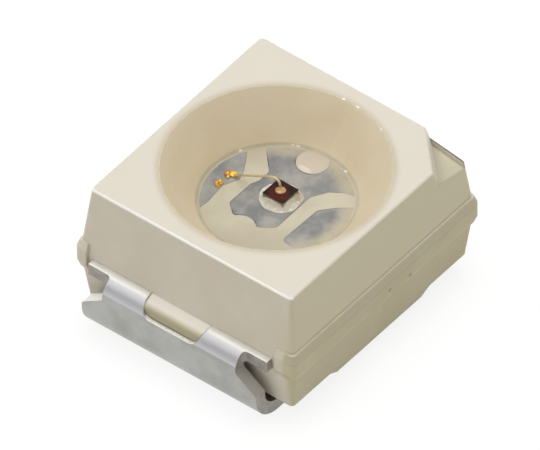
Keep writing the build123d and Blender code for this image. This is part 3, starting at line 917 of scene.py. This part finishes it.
gold, tree, shader, output = new_material("bond_gold")
at = use_group(tree, placing)
tone = use_group(tree, mottle, Colour=GOLD_PALE, Patch_Colour=GOLD, Scale=16000.0, Amount=0.8)
lumpy = use_group(tree, mottle, Colour=GOLD_DEEP, Patch_Colour=GOLD_BRIGHT, Scale=12000.0)
gold_colour = blend(tree, ramp(tree, at["Z"], *LOOP_ABOVE), tone["Colour"], GOLD_LOOP)
gold_colour = blend(tree, ramp(tree, at["Y"], *FAR_PART), gold_colour, GOLD_FAR)
gold_colour = blend(tree, ramp(tree, at["Z"], *LUMPS_BELOW), gold_colour, lumpy["Colour"])
fill(tree, shader, Base_Color=gold_colour, Metallic=0.75,
     Roughness=ramp(tree, tone["Patches"], 0.0, 1.0, 0.26, 0.40),
     Normal=grain_bump(tree, 0.25, 0.002, Scale=50000.0))
print("gold base colour:", [round(c, 3) for c in GOLD[:3]])

# %% [markdown]
# Ball, wedge and bump are squashed gold. A small sphere, roughened with noise and squashed, is nearer to
# them than any turned shape, and costs few faces. The noise starts from the place, so no two are alike.

# %% Helper for gold lumps
LUMP_NOISE = 1.8
LUMP_NOISE_SHIFT = 40


def add_lump(bm, centre, half_sizes, turned=0.0, rough=0.05):
    """Adds a squashed, slightly lumpy ball: its centre and half sizes in mm, turned about the upright."""
    verts = bmesh.ops.create_icosphere(bm, subdivisions=3, radius=1.0)["verts"]
    for vert in verts:
        vert.co *= 1 + rough * noise.noise(vert.co * LUMP_NOISE + Vector(centre) * LUMP_NOISE_SHIFT)
    placed = (Matrix.Translation(Vector(centre) * MM) @ Matrix.Rotation(turned, 4, "Z")
              @ Matrix.Diagonal((*[half * MM for half in half_sizes], 1.0)))
    bmesh.ops.transform(bm, matrix=placed, verts=verts)


# %% [markdown]
# A hair-thin wire leaves the chip, rises, bends over and runs down to the other lead, where it is pressed
# flat. It is stiff and keeps the shape that the bonding tool gave it. So its line is a smooth curve
# through a few control points, and a round section along it becomes the mesh.

# %% Bond wire
WIRE_RADIUS = 0.015
WIRE_ROUTE = [(0.065, 0.0, 1.075), (0.065, 0.0, 1.15), (0.064, 0.012, 1.29), (0.061, 0.05, 1.375),
              (0.056, 0.13, 1.325), (0.045, 0.28, 1.18), (0.033, 0.45, 1.015), (0.026, 0.55, 0.905),
              (0.023, 0.60, 0.869), (0.020, 0.65, 0.866)]

wire_curve = bpy.data.curves.new("wire_line", "CURVE")
wire_curve.dimensions = "3D"
line = wire_curve.splines.new("NURBS")
line.points.add(len(WIRE_ROUTE) - 1)
for point, place in zip(line.points, WIRE_ROUTE):
    point.co = (*[c * MM for c in place], 1.0)
line.order_u = 4
line.use_endpoint_u = True
line.resolution_u = 12
wire_curve.bevel_depth = WIRE_RADIUS * MM
wire_curve.bevel_resolution = 4
wire_curve.use_fill_caps = True
wire_line = bpy.data.objects.new("wire_line", wire_curve)
bpy.context.scene.collection.objects.link(wire_line)
wire_mesh = bpy.data.meshes.new_from_object(wire_line)
bpy.data.objects.remove(wire_line)
print("wire faces:", len(wire_mesh.polygons))

# %% [markdown]
# The wire ends in a squashed ball with a small neck on the chip, and in three merged lumps on the lead.

# %% Bond wire: ball and wedge
WEDGE_PLACE = (0.02, 0.63)
BALL_LUMPS = [(0.018, (0.058, 0.058, 0.022)), (0.040, (0.030, 0.030, 0.020))]
WEDGE_LUMPS = [((0.012, -0.010, 0.868), (0.048, 0.058, 0.020), 0.2, 0.20),
               ((-0.018, 0.040, 0.872), (0.040, 0.034, 0.026), 0.6, 0.25),
               ((-0.050, 0.006, 0.862), (0.026, 0.022, 0.015), 0.1, 0.30)]

bm = bmesh.new()
bm.from_mesh(wire_mesh)
for lift_up, half_sizes in BALL_LUMPS:
    add_lump(bm, (*CHIP_PLACE, CHIP_TOP_Z + lift_up), half_sizes)
for (x, y, z), half_sizes, turned, rough in WEDGE_LUMPS:
    add_lump(bm, (WEDGE_PLACE[0] + x, WEDGE_PLACE[1] + y, z), half_sizes, turned, rough)
finish_piece(bm, "gold_wire", "bond_wire", gold)

# %% [markdown]
# Beside the wedge lies a second bump, which broke up into crumbs of gold of several sizes.

# %% Gold crumbs
CRUMBS = [((-0.140, 0.662), 0.030), ((-0.176, 0.678), 0.022), ((-0.205, 0.655), 0.024),
          ((-0.165, 0.628), 0.022), ((-0.200, 0.622), 0.016), ((-0.128, 0.630), 0.016),
          ((-0.222, 0.632), 0.013)]
CRUMB_TURN = 0.9

bm = bmesh.new()
for number, ((x, y), half) in enumerate(CRUMBS):
    add_lump(bm, (x, y, METAL_Z + 0.4 * half), (half, half * 0.85, half * 0.7),
             turned=CRUMB_TURN * number, rough=0.35)
finish_piece(bm, "gold_crumbs", "bond_bump", gold)

# %% [markdown]
# ## Clear resin
# The cup is filled with clear resin. Glass that bends light would shut the lamps out, because a lamp's
# light reaches a surface in a straight line or not at all. So shadow rays and diffuse rays pass the resin
# straight, and only what the camera and mirrors see through it is bent. That choice stays in the
# material, with the Light Path node.

# %% Resin finish
RESIN_TINT = (0.985, 0.98, 0.965, 1)
RESIN_IOR = 1.5

resin, tree, shader, output = new_material("cast_resin")
fill(tree, shader, Base_Color=RESIN_TINT, Transmission_Weight=1.0, Roughness=0.0, IOR=RESIN_IOR,
     Normal=grain_bump(tree, 0.04, 0.01, Scale=900.0))
light_path = add(tree, "ShaderNodeLightPath").outputs
straight = any_of(tree, light_path["Is Shadow Ray"], light_path["Is Diffuse Ray"])
clear = add(tree, "ShaderNodeBsdfTransparent", Color=RESIN_TINT)
surface = add(tree, "ShaderNodeMixShader", i0=straight, i1=shader.outputs[0], i2=clear.outputs[0])
fill(tree, output, Surface=surface.outputs[0])
print("resin bends light by", RESIN_IOR)

# %% [markdown]
# The top of the resin is a shallow dish that climbs the wall at its rim. As a solid the resin only
# touches the wall and the floor, and two surfaces in one place confuse a ray. So a new piece stands for
# it: half a cross section, drawn once and spun round the axis, that reaches a few thousandths of a
# millimetre into its neighbours. A ray then meets only the top of the resin.

# %% Resin piece
RESIN_RIM = (1.223, 1.7485)
RESIN_FOOT = (0.858, 0.846)
RESIN_MIDDLE_Z = 1.7035
DISH_STEPS = 14
RESIN_STEPS = 96

dish = [(RESIN_RIM[0] * step / DISH_STEPS,
         RESIN_MIDDLE_Z + (RESIN_RIM[1] - RESIN_MIDDLE_Z) * (step / DISH_STEPS) ** 2)
        for step in range(DISH_STEPS + 1)]
bm = bmesh.new()
corners = [bm.verts.new((radius * MM, 0, z * MM)) for radius, z in [*dish, RESIN_FOOT, (0.0, RESIN_FOOT[1])]]
for start, end in zip(corners, corners[1:]):
    bm.edges.new((start, end))
bmesh.ops.spin(bm, geom=bm.verts[:] + bm.edges[:], cent=(0, 0, 0), axis=(0, 0, 1),
               angle=math.tau, steps=RESIN_STEPS, use_merge=True)
finish_piece(bm, "resin_fill", "encapsulant", resin)
